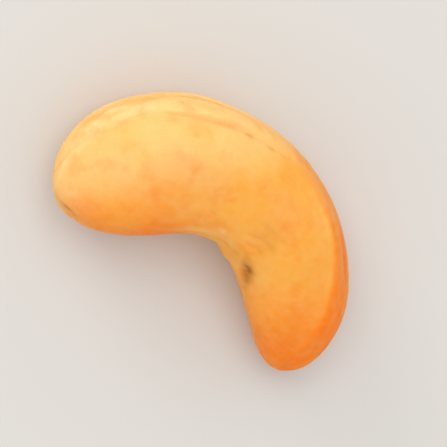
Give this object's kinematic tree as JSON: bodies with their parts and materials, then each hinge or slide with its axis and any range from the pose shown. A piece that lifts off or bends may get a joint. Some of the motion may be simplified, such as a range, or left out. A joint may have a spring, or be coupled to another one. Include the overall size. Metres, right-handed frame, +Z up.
{
  "type": "roasted cashew nut",
  "caption": "Whole roasted cashew kernel: a fat curved seed with a broad round head, a bend of about a right angle and a tapering blunt tail, lying on its cheek.",
  "frame": {"origin": "under the middle of the kernel's bounding box, on the surface that it rests on", "axes": "+X from the head's side to the tail's side along the chord of the curve, +Y from the hollow of the bend to the outer curve, +Z up from the cheek that it lies on"},
  "size_m": [0.027, 0.0164, 0.011],
  "materials": {
    "roasted_kernel": "satin roasted seed, golden and a little oily, darker towards the tail"
  },
  "bodies": {
    "root": {"kernel": "roasted_kernel"}
  },
  "joints": []
}
